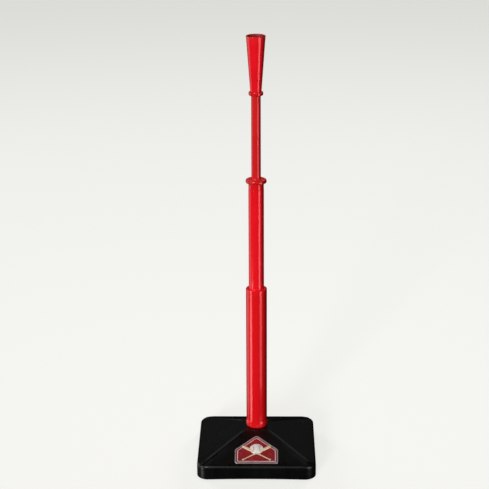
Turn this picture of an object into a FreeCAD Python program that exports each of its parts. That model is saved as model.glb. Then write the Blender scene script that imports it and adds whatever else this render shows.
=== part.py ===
"""Adjustable batting tee.

A weighted square base carries a three-stage telescoping stem. Each inner tube ends in a grooved
piston whose two O-rings rub in the tube below and hold the height by friction, and each outer tube
ends in a guide that the piston cannot pass. A flared rubber cone on the top tube carries the ball.

Millimetres. +Z is up the stem, the origin is the centre of the base on the floor, and -Y is the
front, where the badge is.
"""

import FreeCAD, Part
import math
import os

import Sketcher

# ---------------------------------------------------------------- driving dimensions

SIZES = {
    # base shell
    "base_width": 305.0,
    "base_corner_radius": 30.0,
    "wall_height": 36.5,
    "rim_fillet": 9.0,
    "hub_height": 83.0,
    "hub_width": 66.0,
    "shell_thickness": 6.0,
    "skirt_clearance": 0.5,
    "skirt_arch": 1.7,
    "skirt_arch_span": 250.0,
    "rib_radius": 10.0,
    "rib_rise": 2.1,
    "rib_outer_reach": 131.0,
    "rib_inner_reach": 36.5,
    "column_radius": 28.0,
    "boss_radius": 6.0,
    "boss_top": 43.5,
    "corner_boss_reach": 122.0,
    "side_boss_reach": 124.0,
    # base cover, feet and ballast
    "cover_bottom": 4.0,
    "cover_thickness": 3.0,
    "cover_gap": 0.5,
    "cover_access_radius": 16.0,
    "foot_radius": 17.0,
    "foot_chamfer": 1.5,
    "foot_recess_depth": 2.4,
    "foot_recess_radius": 5.5,
    "ballast_bottom": 16.0,
    "ballast_thickness": 8.0,
    "ballast_width": 232.0,
    "ballast_corner_cut": 36.0,
    # cover and foot screws
    "screw_radius": 2.0,
    "screw_head_radius": 4.0,
    "screw_head_height": 1.8,
    "screw_grip": 16.0,
    # centre bolt and what is on it
    "bolt_radius": 5.0,
    "bolt_hole_radius": 5.25,
    "bolt_length": 92.0,
    "bolt_head_height": 6.4,
    "bolt_across_corners": 18.48,
    "load_washer_radius": 20.0,
    "load_washer_thickness": 2.0,
    "spring_washer_radius": 8.8,
    "spring_washer_thickness": 2.2,
    "tube_washer_radius": 17.5,
    "tube_washer_thickness": 2.5,
    "nut_height": 8.0,
    # lower tube and its guide
    "lower_tube_radius": 26.7,
    "lower_tube_wall": 3.0,
    "lower_tube_length": 373.0,
    "lower_floor": 8.0,
    "flange_radius": 28.2,
    "flange_height": 13.0,
    "flange_rounding": 3.5,
    "flare_height": 6.0,
    "flare_rounding": 12.0,
    "lower_guide_head": 10.0,
    "lower_guide_chamfer": 1.4,
    "lower_guide_spigot": 22.0,
    "seam_chamfer": 0.5,
    # middle tube, its collar and its piston
    "middle_tube_radius": 19.4,
    "middle_tube_wall": 3.0,
    "middle_stop_height": 279.0,
    "middle_neck": 17.5,
    "middle_neck_radius": 19.2,
    "middle_collar_radius": 26.3,
    "collar_height": 10.0,
    "collar_rounding": 4.6,
    "middle_collar_spigot": 22.0,
    "middle_piston_bottom": 386.0,
    "middle_piston_head": 28.0,
    "piston_spigot": 20.0,
    "middle_piston_bore": 10.0,
    # upper tube, its collar, cap and piston
    "upper_tube_radius": 11.8,
    "upper_tube_wall": 2.4,
    "upper_stop_height": 212.25,
    "upper_collar_radius": 18.0,
    "upper_piston_bottom": 646.0,
    "upper_piston_head": 24.0,
    "upper_piston_bore": 5.0,
    "upper_tube_overlap": 48.5,
    "cap_flange": 2.0,
    "cap_spigot": 12.0,
    # O-rings
    "middle_ring_section": 3.5,
    "upper_ring_section": 2.6,
    "groove_slack": 0.35,
    "groove_margin": 5.0,
    # ball cone
    "cone_height": 137.35,
    "cone_foot_radius": 13.7,
    "cone_mouth_radius": 24.1,
    "cone_lip": 3.0,
    "cone_ledge": 4.0,
    "cone_ledge_radius": 9.0,
    "cone_throat_radius": 14.0,
    "cone_lip_rounding": 1.3,
    # running clearances, on the radius
    "slide_clearance": 0.1,
    "ring_clearance": 0.05,
    "piston_clearance": 0.3,
    # badge
    "badge_width": 111.0,
    "badge_height": 97.0,
    "badge_side": 47.0,
    "badge_thickness": 1.4,
    "badge_rounding": 6.0,
    "badge_reach": 96.5,
}

doc = FreeCAD.newDocument("BattingTee")
sheet = doc.addObject("Spreadsheet::Sheet", "Dimensions")
for row, (alias, number) in enumerate(SIZES.items(), start=1):
    sheet.set(f"A{row}", alias)
    sheet.set(f"B{row}", str(number))
    sheet.setAlias(f"B{row}", alias)
doc.recompute()


class Dim:
    """A length in mm together with the spreadsheet expression that gives it."""

    def __init__(self, value, text):
        self.value = value
        self.text = text

    def __add__(self, other):
        other = as_dim(other)
        return Dim(self.value + other.value, f"({self.text} + {other.text})")

    def __sub__(self, other):
        other = as_dim(other)
        return Dim(self.value - other.value, f"({self.text} - {other.text})")

    def __mul__(self, factor):
        factor = as_dim(factor)
        return Dim(self.value * factor.value, f"({self.text} * {factor.text})")

    def __truediv__(self, divisor):
        divisor = as_dim(divisor)
        return Dim(self.value / divisor.value, f"({self.text} / {divisor.text})")


def as_dim(number):
    """number as a Dim, where a plain number stands for itself."""
    return number if isinstance(number, Dim) else Dim(float(number), repr(float(number)))


def size(alias):
    """The spreadsheet cell of that alias as a Dim."""
    return Dim(SIZES[alias], f"Dimensions.{alias}")


def bind(thing, place, dim):
    """Sets a property or constraint of thing from the spreadsheet."""
    thing.setExpression(place, as_dim(dim).text)


# ---------------------------------------------------------------- derived levels and radii

half_base = size("base_width") / 2
half_hub = size("hub_width") / 2
hub_radius = size("base_corner_radius") / 5
facet_slope = (size("hub_height") - size("wall_height")) / (half_base - half_hub)
facet_angle = math.degrees(math.atan(facet_slope.value))
facet_stretch = 1.0 / math.cos(math.radians(facet_angle))
cavity_half = half_base - size("shell_thickness")
facet_drop = size("shell_thickness") * facet_stretch
cavity_shoulder = size("wall_height") + size("shell_thickness") * facet_slope - facet_drop

cover_top = size("cover_bottom") + size("cover_thickness")
ballast_top = size("ballast_bottom") + size("ballast_thickness")
load_washer_bottom = size("ballast_bottom") - size("load_washer_thickness")
bolt_seat = load_washer_bottom - size("spring_washer_thickness")
tube_floor_top = size("hub_height") + size("lower_floor")
nut_bottom = tube_floor_top + size("tube_washer_thickness")

lower_bore = size("lower_tube_radius") - size("lower_tube_wall")
lower_tube_top = size("hub_height") + size("lower_tube_length")
lower_guide_top = lower_tube_top + size("lower_guide_head")
lower_guide_bottom = lower_tube_top - size("lower_guide_spigot")

middle_bore = size("middle_tube_radius") - size("middle_tube_wall")
middle_collar_bottom = lower_guide_top + size("middle_stop_height")
middle_collar_top = middle_collar_bottom + size("collar_height")
middle_tube_top = middle_collar_bottom - size("middle_neck")
middle_tube_bottom = size("middle_piston_bottom") + size("middle_piston_head")

upper_bore = size("upper_tube_radius") - size("upper_tube_wall")
upper_collar_bottom = middle_collar_top + size("upper_stop_height")
upper_collar_top = upper_collar_bottom + size("collar_height")
upper_tube_bottom = size("upper_piston_bottom") + size("upper_piston_head")
upper_tube_top = upper_collar_top + size("upper_tube_overlap")
cap_top = upper_tube_top + size("cap_flange")
cone_top = upper_collar_top + size("cone_height")


# ---------------------------------------------------------------- modelling helpers

parts = []  # the sub-parts, each with its node's name as its Label


def new_body(label):
    """A PartDesign body that is exported as the node of that name."""
    body = doc.addObject("PartDesign::Body", label)
    body.Label = label
    parts.append(body)
    return body


def origin_feature(body, role):
    """One of the body's own origin planes or axes."""
    return next(f for f in body.Origin.OriginFeatures if f.Role == role)


def new_sketch(body, name, plane="XY_Plane", level=0.0, turn=0.0):
    """A sketch on an origin plane, raised to a level along Z, or turned about Z where it stands upright."""
    sketch = body.newObject("Sketcher::SketchObject", f"{body.Name}_{name}")
    sketch.AttachmentSupport = [(origin_feature(body, plane), "")]
    sketch.MapMode = "FlatFace"
    if turn:
        sketch.AttachmentOffset = FreeCAD.Placement(
            FreeCAD.Vector(), FreeCAD.Rotation(FreeCAD.Vector(0, 1, 0), turn)
        )
    if plane == "XY_Plane":
        bind(sketch, "AttachmentOffset.Base.z", level)
    return sketch


def place_point(sketch, geometry, end, x, y):
    """Fixes a point of the sketch at x, y from its origin, both bound to the spreadsheet."""
    for kind, along, on_axis in (("DistanceX", x, -2), ("DistanceY", y, -1)):
        along = as_dim(along)
        if along.value == 0:
            sketch.addConstraint(Sketcher.Constraint("PointOnObject", geometry, end, on_axis))
        elif along.value > 0:
            made = sketch.addConstraint(Sketcher.Constraint(kind, -1, 1, geometry, end, along.value))
            bind(sketch, f"Constraints[{made}]", along)
        else:
            made = sketch.addConstraint(Sketcher.Constraint(kind, geometry, end, -1, 1, -along.value))
            bind(sketch, f"Constraints[{made}]", as_dim(0) - along)


def add_polygon(sketch, corners):
    """A closed outline through corners, each an (x, y) pair of dimensions."""
    points = [FreeCAD.Vector(as_dim(x).value, as_dim(y).value, 0) for x, y in corners]
    lines = []
    for start, end in zip(points, points[1:] + points[:1]):
        lines.append(sketch.addGeometry(Part.LineSegment(start, end), False))
    for line, following in zip(lines, lines[1:] + lines[:1]):
        sketch.addConstraint(Sketcher.Constraint("Coincident", line, 2, following, 1))
    for line, (x, y) in zip(lines, corners):
        place_point(sketch, line, 1, x, y)
    return lines


def add_circle(sketch, x, y, radius):
    """A circle of that radius centred at x, y."""
    x, y, radius = as_dim(x), as_dim(y), as_dim(radius)
    centre = FreeCAD.Vector(x.value, y.value, 0)
    circle = sketch.addGeometry(Part.Circle(centre, FreeCAD.Vector(0, 0, 1), radius.value), False)
    place_point(sketch, circle, 3, x, y)
    made = sketch.addConstraint(Sketcher.Constraint("Radius", circle, radius.value))
    bind(sketch, f"Constraints[{made}]", radius)


def add_rounded_square(sketch, half, radius):
    """A square of twice half, centred on the origin, with its corners rounded to radius."""
    h, r = half.value, radius.value
    reach = h - r
    turns = [math.radians(90 * i) for i in range(4)]
    lines, arcs = [], []
    for turn in turns:
        rotation = FreeCAD.Rotation(FreeCAD.Vector(0, 0, 1), math.degrees(turn))
        start = rotation.multVec(FreeCAD.Vector(-reach, -h, 0))
        end = rotation.multVec(FreeCAD.Vector(reach, -h, 0))
        lines.append(sketch.addGeometry(Part.LineSegment(start, end), False))
        centre = rotation.multVec(FreeCAD.Vector(reach, -reach, 0))
        circle = Part.Circle(centre, FreeCAD.Vector(0, 0, 1), r)
        arc = Part.ArcOfCircle(circle, turn - math.pi / 2, turn)
        arcs.append(sketch.addGeometry(arc, False))
    for i in range(4):
        sketch.addConstraint(Sketcher.Constraint("Tangent", lines[i], 2, arcs[i], 1))
        sketch.addConstraint(Sketcher.Constraint("Tangent", arcs[i], 2, lines[(i + 1) % 4], 1))
        direction = "Vertical" if i % 2 else "Horizontal"
        sketch.addConstraint(Sketcher.Constraint(direction, lines[i]))
    for i in range(1, 4):
        sketch.addConstraint(Sketcher.Constraint("Equal", arcs[0], arcs[i]))
    sketch.addConstraint(Sketcher.Constraint("Equal", lines[0], lines[1]))
    sketch.addConstraint(Sketcher.Constraint("Symmetric", lines[0], 1, lines[2], 1, -1, 1))
    made = sketch.addConstraint(Sketcher.Constraint("Radius", arcs[0], r))
    bind(sketch, f"Constraints[{made}]", radius)
    made = sketch.addConstraint(Sketcher.Constraint("DistanceY", lines[0], 1, lines[2], 1, 2 * h))
    bind(sketch, f"Constraints[{made}]", half * 2)


def pad(body, sketch, length):
    """Pads sketch upwards by length."""
    feature = body.newObject("PartDesign::Pad", f"{sketch.Name}_pad")
    feature.Profile = sketch
    bind(feature, "Length", length)
    doc.recompute()
    return feature


def pocket(body, sketch, depth=None):
    """Cuts sketch upwards by depth, or right through both ways, and checks that it removed something."""
    before = body.Shape.Volume
    feature = body.newObject("PartDesign::Pocket", f"{sketch.Name}_pocket")
    feature.Profile = sketch
    if depth is None:
        feature.SideType = "Two sides"
        feature.Type = "ThroughAll"
        feature.Type2 = "ThroughAll"
    else:
        bind(feature, "Length", depth)
        feature.Reversed = True
    doc.recompute()
    if not body.Shape.Volume < before - 1:
        raise RuntimeError(f"{feature.Name} removed nothing")
    return feature


def revolve(body, sketch, angle=360.0):
    """Turns sketch about the upright axis of its plane."""
    feature = body.newObject("PartDesign::Revolution", f"{sketch.Name}_turned")
    feature.Profile = sketch
    feature.ReferenceAxis = (sketch, ["V_Axis"])
    feature.Angle = angle
    doc.recompute()
    return feature


def polar_four(body, features):
    """Repeats features at each quarter turn about Z."""
    pattern = body.newObject("PartDesign::PolarPattern", f"{features[0].Name}_four")
    pattern.Originals = features
    pattern.Axis = (origin_feature(body, "Z_Axis"), [""])
    pattern.Angle = 360.0
    pattern.Occurrences = 4
    body.Tip = pattern
    doc.recompute()
    return pattern


def dress(body, kind, base, edges, amount):
    """A fillet or a chamfer of that size on edges of base."""
    feature = body.newObject(f"PartDesign::{kind}", f"{base.Name}_{kind.lower()}")
    feature.Base = (base, edges)
    bind(feature, "Radius" if kind == "Fillet" else "Size", amount)
    body.Tip = feature
    doc.recompute()
    return feature


def ring_edges(feature, rings):
    """Names of the circular edges of feature about Z at the given (radius, level) pairs."""
    found = []
    for number, edge in enumerate(feature.Shape.Edges, start=1):
        if not isinstance(edge.Curve, Part.Circle):
            continue
        for radius, level in rings:
            near_radius = abs(edge.Curve.Radius - radius.value) < 1e-3
            near_level = abs(edge.Curve.Center.z - level.value) < 1e-3
            if near_radius and near_level and math.hypot(edge.Curve.Center.x, edge.Curve.Center.y) < 1e-3:
                found.append(f"Edge{number}")
    if len(found) != len(rings):
        raise RuntimeError(f"{feature.Name}: {len(found)} edges found for {len(rings)} rings")
    return found


def level_edges(feature, level):
    """Names of the edges of feature that lie flat at that level."""
    found = []
    for number, edge in enumerate(feature.Shape.Edges, start=1):
        box = edge.BoundBox
        if abs(box.ZMin - level.value) < 1e-3 and abs(box.ZMax - level.value) < 1e-3:
            found.append(f"Edge{number}")
    return found


def turned(label, corners, fillets=(), chamfers=(), angle=360.0):
    """A part turned on a lathe: corners are (radius, level) pairs, and fillets and chamfers are
    (amount, rings) pairs, each ring a (radius, level) pair."""
    body = new_body(label)
    sketch = new_sketch(body, "profile", plane="XZ_Plane")
    add_polygon(sketch, corners)
    feature = revolve(body, sketch, angle)
    for amount, rings in chamfers:
        feature = dress(body, "Chamfer", feature, ring_edges(feature, rings), amount)
    for amount, rings in fillets:
        feature = dress(body, "Fillet", feature, ring_edges(feature, rings), amount)
    return body


# ---------------------------------------------------------------- base


def shell_solid(body, kind, name, half, radius, bottom, shoulder, top):
    """Adds or takes away a rounded square block up to shoulder and a low pyramid from there to top."""
    wall = new_sketch(body, f"{name}_wall", level=bottom)
    add_rounded_square(wall, half, radius)
    if kind == "Subtractive":
        pocket(body, wall, shoulder - bottom)
    else:
        pad(body, wall, shoulder - bottom)
    sections = []
    for suffix, section_half, section_radius, level in (
        ("shoulder", half, radius, shoulder),
        ("hub", half_hub, hub_radius, top),
    ):
        sketch = new_sketch(body, f"{name}_{suffix}", level=level)
        add_rounded_square(sketch, section_half, section_radius)
        sections.append(sketch)
    doc.recompute()
    loft = body.newObject(f"PartDesign::{kind}Loft", f"{name}_pyramid")
    loft.Profile = sections[0]
    loft.Sections = sections[1:]
    loft.Ruled = True
    doc.recompute()
    return loft


def rib_point(reach, quarter):
    """The middle of a rib's section on one of the four diagonals, reach out along X and along Y."""
    ridge = size("wall_height").value + (half_base.value - reach) * facet_slope.value
    sunk = SIZES["rib_radius"] - SIZES["rib_rise"]
    turn = FreeCAD.Rotation(FreeCAD.Vector(0, 0, 1), 90.0 * quarter)
    return turn.multVec(FreeCAD.Vector(reach, reach, ridge - sunk))


def add_rib(body, quarter):
    """A round-ended rib up one of the four diagonals, most of it sunk in the shell."""
    inner = rib_point(SIZES["rib_inner_reach"], quarter)
    outer = rib_point(SIZES["rib_outer_reach"], quarter)
    along = FreeCAD.Rotation(FreeCAD.Vector(0, 0, 1), inner - outer)
    for kind, name, place in (
        ("Cylinder", "rod", FreeCAD.Placement(outer, along)),
        ("Sphere", "inner_end", FreeCAD.Placement(inner, FreeCAD.Rotation())),
        ("Sphere", "outer_end", FreeCAD.Placement(outer, FreeCAD.Rotation())),
    ):
        piece = body.newObject(f"PartDesign::Additive{kind}", f"rib_{quarter + 1}_{name}")
        piece.AttachmentSupport = [(origin_feature(body, "XY_Plane"), "")]
        piece.MapMode = "FlatFace"
        piece.AttachmentOffset = place
        bind(piece, "Radius", size("rib_radius"))
        if kind == "Cylinder":
            piece.Height = (inner - outer).Length
    doc.recompute()


def make_base_shell():
    """The moulded shell: skirt, low pyramid with a rounded rib up each corner, and the inner column."""
    body = new_body("base_shell")
    corner = size("base_corner_radius")
    outer = shell_solid(
        body, "Additive", "outer", half_base, corner, size("skirt_clearance"),
        size("wall_height"), size("hub_height"),
    )
    shoulder = level_edges(outer, size("wall_height"))
    dress(body, "Fillet", outer, shoulder, size("rim_fillet"))

    for quarter in range(4):
        add_rib(body, quarter)

    shell_solid(
        body, "Subtractive", "cavity", cavity_half, corner - size("shell_thickness"),
        as_dim(0) - size("shell_thickness"), cavity_shoulder, size("hub_height") - facet_drop,
    )

    column = new_sketch(body, "column", level=ballast_top)
    add_circle(column, 0, 0, size("column_radius"))
    pad(body, column, size("hub_height") - size("shell_thickness") - ballast_top)

    boss = new_sketch(body, "boss", level=cover_top)
    add_circle(boss, size("corner_boss_reach"), size("corner_boss_reach"), size("boss_radius"))
    add_circle(boss, 0, size("side_boss_reach"), size("boss_radius"))
    boss_pad = pad(body, boss, size("boss_top") - cover_top)
    polar_four(body, [boss_pad])

    pilot = new_sketch(body, "pilot", level=cover_top)
    add_circle(pilot, size("corner_boss_reach"), size("corner_boss_reach"), size("screw_radius"))
    add_circle(pilot, 0, size("side_boss_reach"), size("screw_radius"))
    pilot_pocket = pocket(body, pilot, size("screw_grip") + 1)
    polar_four(body, [pilot_pocket])

    bolt_hole = new_sketch(body, "bolt_hole", level=ballast_top)
    add_circle(bolt_hole, 0, 0, size("bolt_hole_radius"))
    pocket(body, bolt_hole, size("hub_height"))

    for plane in ("XZ_Plane", "YZ_Plane"):
        arch = new_sketch(body, f"arch_{plane[:2]}", plane=plane)
        span = size("skirt_arch_span") / 2
        add_arch(arch, span, size("skirt_clearance"), size("skirt_arch"))
        pocket(body, arch)
    return body


def add_arch(sketch, half_span, foot, rise):
    """A flat closed arc over the middle of a skirt edge, rise above foot, with room to spare below."""
    below = foot - 4
    ends = [(half_span, foot), (as_dim(0) - half_span, foot)]
    floor = [(as_dim(0) - half_span, below), (half_span, below)]
    corners = ends[1:] + floor + ends[:1]
    points = [FreeCAD.Vector(x.value, y.value, 0) for x, y in corners]
    for start, end in zip(points, points[1:]):
        sketch.addGeometry(Part.LineSegment(start, end), False)
    crown = FreeCAD.Vector(0, foot.value + rise.value, 0)
    arc = sketch.addGeometry(Part.Arc(points[-1], crown, points[0]), False)
    for line in range(2):
        sketch.addConstraint(Sketcher.Constraint("Coincident", line, 2, line + 1, 1))
    sketch.addConstraint(Sketcher.Constraint("Coincident", 2, 2, arc, 1))
    sketch.addConstraint(Sketcher.Constraint("Coincident", arc, 2, 0, 1))
    for geometry, end, (x, y) in ((0, 1, corners[0]), (1, 1, corners[1]), (2, 1, corners[2]), (2, 2, corners[3])):
        place_point(sketch, geometry, end, x, y)
    radius = (half_span * half_span + rise * rise) / (rise * 2)
    made = sketch.addConstraint(Sketcher.Constraint("Radius", arc, radius.value))
    bind(sketch, f"Constraints[{made}]", radius)


def make_base_cover():
    """The plate that closes the underside, with a hole to reach the bolt head."""
    body = new_body("base_cover")
    outline = new_sketch(body, "outline", level=size("cover_bottom"))
    half = cavity_half - size("cover_gap")
    radius = size("base_corner_radius") - size("shell_thickness") - size("cover_gap")
    add_rounded_square(outline, half, radius)
    pad(body, outline, size("cover_thickness"))
    access = new_sketch(body, "access", level=size("cover_bottom"))
    add_circle(access, 0, 0, size("cover_access_radius"))
    pocket(body, access, size("cover_thickness"))
    holes = new_sketch(body, "holes", level=size("cover_bottom"))
    hole_radius = size("screw_radius") + 0.25
    add_circle(holes, size("corner_boss_reach"), size("corner_boss_reach"), hole_radius)
    add_circle(holes, 0, size("side_boss_reach"), hole_radius)
    polar_four(body, [pocket(body, holes, size("cover_thickness"))])
    return body


def make_ballast_plate():
    """The steel plate that weights the base, its corners cut to clear the corner bosses."""
    body = new_body("ballast_plate")
    outline = new_sketch(body, "outline", level=size("ballast_bottom"))
    half = size("ballast_width") / 2
    short = half - size("ballast_corner_cut")
    minus_half, minus_short = as_dim(0) - half, as_dim(0) - short
    add_polygon(
        outline,
        [
            (minus_short, minus_half), (short, minus_half), (half, minus_short), (half, short),
            (short, half), (minus_short, half), (minus_half, short), (minus_half, minus_short),
        ],
    )
    pad(body, outline, size("ballast_thickness"))
    hole = new_sketch(body, "hole", level=size("ballast_bottom"))
    add_circle(hole, 0, 0, size("bolt_hole_radius"))
    pocket(body, hole, size("ballast_thickness"))
    return body


def make_feet():
    """Four rubber feet, each recessed below for the head of the screw that holds it."""
    reach = SIZES["corner_boss_reach"]
    for end, y in (("front", -reach), ("rear", reach)):
        for side, x in (("left", -reach), ("right", reach)):
            shank, recess = size("screw_radius") + 0.25, size("foot_recess_radius")
            foot = turned(
                f"foot_{end}_{side}",
                [
                    (shank, size("cover_bottom")), (shank, size("foot_recess_depth")),
                    (recess, size("foot_recess_depth")), (recess, 0),
                    (size("foot_radius"), 0), (size("foot_radius"), size("cover_bottom")),
                ],
                chamfers=[(size("foot_chamfer"), [(size("foot_radius"), as_dim(0))])],
            )
            foot.Placement = FreeCAD.Placement(FreeCAD.Vector(x, y, 0), FreeCAD.Rotation())


def make_screws(label, under_head, places):
    """Pan-head screws, one separate solid at each of places, as one group."""
    made = []
    for number, (x, y) in enumerate(places, start=1):
        head = doc.addObject("Part::Cylinder", f"{label}_head_{number}")
        bind(head, "Radius", size("screw_head_radius"))
        bind(head, "Height", size("screw_head_height"))
        bind(head, "Placement.Base.z", under_head - size("screw_head_height"))
        shank = doc.addObject("Part::Cylinder", f"{label}_shank_{number}")
        bind(shank, "Radius", size("screw_radius"))
        bind(shank, "Height", cover_top + size("screw_grip") - under_head)
        bind(shank, "Placement.Base.z", under_head)
        for piece in (head, shank):
            bind(piece, "Placement.Base.x", x)
            bind(piece, "Placement.Base.y", y)
        screw = doc.addObject("Part::Fuse", f"{label}_{number}")
        screw.Base, screw.Tool = head, shank
        made.append(screw)
    group = doc.addObject("Part::Compound", label)
    group.Label = label
    group.Links = made
    parts.append(group)
    doc.recompute()


def make_fasteners():
    """The foot and cover screws, and the bolt that clamps ballast, shell and lower tube together."""
    corner, side = size("corner_boss_reach"), size("side_boss_reach")
    minus_corner, minus_side = as_dim(0) - corner, as_dim(0) - side
    make_screws(
        "foot_screws", size("foot_recess_depth"),
        [(minus_corner, minus_corner), (corner, minus_corner), (corner, corner), (minus_corner, corner)],
    )
    make_screws(
        "cover_screws", size("cover_bottom"),
        [(as_dim(0), minus_side), (side, as_dim(0)), (as_dim(0), side), (minus_side, as_dim(0))],
    )

    head = doc.addObject("Part::Prism", "bolt_head")
    head.Polygon = 6
    bind(head, "Circumradius", size("bolt_across_corners") / 2)
    bind(head, "Height", size("bolt_head_height"))
    bind(head, "Placement.Base.z", bolt_seat - size("bolt_head_height"))
    shank = doc.addObject("Part::Cylinder", "bolt_shank")
    bind(shank, "Radius", size("bolt_radius"))
    bind(shank, "Height", size("bolt_length"))
    bind(shank, "Placement.Base.z", bolt_seat)
    bolt = doc.addObject("Part::Fuse", "centre_bolt")
    bolt.Label = "centre_bolt"
    bolt.Base, bolt.Tool = head, shank
    parts.append(bolt)

    blank = doc.addObject("Part::Prism", "nut_blank")
    blank.Polygon = 6
    bind(blank, "Circumradius", size("bolt_across_corners") / 2)
    bind(blank, "Height", size("nut_height"))
    bind(blank, "Placement.Base.z", nut_bottom)
    bore = doc.addObject("Part::Cylinder", "nut_bore")
    bind(bore, "Radius", size("bolt_radius"))
    bind(bore, "Height", size("nut_height"))
    bind(bore, "Placement.Base.z", nut_bottom)
    nut = doc.addObject("Part::Cut", "lock_nut")
    nut.Label = "lock_nut"
    nut.Base, nut.Tool = blank, bore
    parts.append(nut)
    doc.recompute()

    hole = size("bolt_hole_radius")
    make_washer("load_washer", hole, size("load_washer_radius"), load_washer_bottom, size("load_washer_thickness"))
    make_washer(
        "spring_washer", hole, size("spring_washer_radius"), bolt_seat, size("spring_washer_thickness"),
        angle=352.0,
    )
    make_washer("tube_washer", hole, size("tube_washer_radius"), tube_floor_top, size("tube_washer_thickness"))


def make_washer(label, hole, radius, bottom, thickness, angle=360.0):
    """A flat washer, or a split one where angle is less than a full turn."""
    top = bottom + thickness
    turned(label, [(hole, bottom), (radius, bottom), (radius, top), (hole, top)], angle=angle)


def make_badge():
    """A plain five-sided badge that lies on the front facet, its point towards the stem."""
    body = new_body("badge_plate")
    outline = new_sketch(body, "outline")
    half = size("badge_width") / 2
    low, high = as_dim(0) - size("badge_height") / 2, size("badge_height") / 2
    side_top = low + size("badge_side")
    minus_half = as_dim(0) - half
    add_polygon(outline, [(minus_half, low), (half, low), (half, side_top), (0, high), (minus_half, side_top)])
    feature = pad(body, outline, size("badge_thickness"))
    upright = []
    for number, edge in enumerate(feature.Shape.Edges, start=1):
        if edge.BoundBox.ZLength > SIZES["badge_thickness"] / 2:
            upright.append(f"Edge{number}")
    dress(body, "Fillet", feature, upright, size("badge_rounding"))
    reach = SIZES["badge_reach"]
    level = SIZES["wall_height"] + (half_base.value - reach) * facet_slope.value
    tilt = FreeCAD.Rotation(FreeCAD.Vector(1, 0, 0), facet_angle)
    body.Placement = FreeCAD.Placement(FreeCAD.Vector(0, -reach, level), tilt)


# ---------------------------------------------------------------- stem


def make_lower_tube():
    """The outer tube, with a thick floor that the bolt clamps and a rounded flange flared out of its foot."""
    outer, foot = size("lower_tube_radius"), size("hub_height")
    flange, flange_top = size("flange_radius"), foot + size("flange_height")
    flare_top = flange_top + size("flare_height")
    turned(
        "lower_tube",
        [
            (size("bolt_hole_radius"), foot), (flange, foot), (flange, flange_top),
            (outer, flare_top), (outer, lower_tube_top),
            (lower_bore, lower_tube_top), (lower_bore, tube_floor_top),
            (size("bolt_hole_radius"), tube_floor_top),
        ],
        fillets=[
            (size("flange_rounding"), [(flange, foot), (flange, flange_top)]),
            (size("flare_rounding"), [(outer, flare_top)]),
        ],
        chamfers=[(size("seam_chamfer"), [(outer, lower_tube_top)])],
    )


def make_guide(label, outer, bore, spigot_radius, bottom, seat, top, chamfer, lead):
    """A guide bush: a head that stands on a tube's end and a spigot inside it, bored for the next tube."""
    turned(
        label,
        [
            (bore, bottom), (spigot_radius, bottom), (spigot_radius, seat),
            (outer, seat), (outer, top), (bore, top),
        ],
        chamfers=[
            (chamfer, [(outer, top)]),
            (lead, [(bore, top)]),
            (size("seam_chamfer"), [(outer, seat)]),
        ],
    )


def make_tube(label, outer, bore, bottom, top):
    """A plain tube with its outer ends just broken."""
    turned(
        label,
        [(bore, bottom), (outer, bottom), (outer, top), (bore, top)],
        chamfers=[(size("seam_chamfer"), [(outer, top)])],
    )


def ring_levels(piston_bottom, head, section):
    """The levels of the two O-rings of a piston, one near each end of its head."""
    inset = size("groove_margin") + section / 2
    return piston_bottom + inset, piston_bottom + head - inset


def make_piston(label, bore, tube_bore, hollow, bottom, head, section):
    """The moulded end of a sliding tube: a head with two O-ring grooves and a spigot up the tube."""
    head_radius = bore - size("piston_clearance")
    groove_floor = bore - size("ring_clearance") * 2 - section
    half_groove = section / 2 + size("groove_slack")
    top = bottom + head
    corners = [(hollow, bottom), (head_radius, bottom)]
    for level in ring_levels(bottom, head, section):
        corners += [
            (head_radius, level - half_groove), (groove_floor, level - half_groove),
            (groove_floor, level + half_groove), (head_radius, level + half_groove),
        ]
    corners += [
        (head_radius, top), (tube_bore, top), (tube_bore, top + size("piston_spigot")),
        (hollow, top + size("piston_spigot")),
    ]
    turned(label, corners, chamfers=[(size("seam_chamfer"), [(head_radius, bottom), (head_radius, top)])])


def make_rings(stage, bore, bottom, head, section):
    """The two O-rings of a piston, drawn at the size the bore squeezes them to."""
    for place, level in zip(("lower", "upper"), ring_levels(bottom, head, section)):
        ring = doc.addObject("Part::Torus", f"{stage}_o_ring_{place}")
        ring.Label = f"{stage}_o_ring_{place}"
        bind(ring, "Radius1", bore - size("ring_clearance") - section / 2)
        bind(ring, "Radius2", section / 2)
        bind(ring, "Placement.Base.z", level)
        parts.append(ring)
    doc.recompute()


def make_middle_collar():
    """The middle tube's top: a bead that lands on the lower guide, a neck, and a spigot in the tube."""
    bead, neck = size("middle_collar_radius"), size("middle_neck_radius")
    bore = size("upper_tube_radius") + size("slide_clearance")
    turned(
        "middle_collar",
        [
            (bore, middle_tube_top - size("middle_collar_spigot")),
            (middle_bore, middle_tube_top - size("middle_collar_spigot")),
            (middle_bore, middle_tube_top), (neck, middle_tube_top), (neck, middle_collar_bottom),
            (bead, middle_collar_bottom), (bead, middle_collar_top), (bore, middle_collar_top),
        ],
        chamfers=[(size("seam_chamfer") * 2, [(bore, middle_collar_top)])],
        fillets=[(size("collar_rounding"), [(bead, middle_collar_bottom), (bead, middle_collar_top)])],
    )


def make_upper_collar():
    """The bead fixed on the upper tube that lands on the middle collar and carries the cone."""
    bead, bore = size("upper_collar_radius"), size("upper_tube_radius")
    turned(
        "upper_collar",
        [(bore, upper_collar_bottom), (bead, upper_collar_bottom), (bead, upper_collar_top), (bore, upper_collar_top)],
        fillets=[(size("collar_rounding"), [(bead, upper_collar_bottom), (bead, upper_collar_top)])],
    )


def make_upper_tube_cap():
    """The plug that closes the top of the upper tube inside the cone."""
    turned(
        "upper_tube_cap",
        [
            (0, upper_tube_top - size("cap_spigot")), (upper_bore, upper_tube_top - size("cap_spigot")),
            (upper_bore, upper_tube_top), (size("upper_tube_radius"), upper_tube_top),
            (size("upper_tube_radius"), cap_top), (0, cap_top),
        ],
    )


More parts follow.
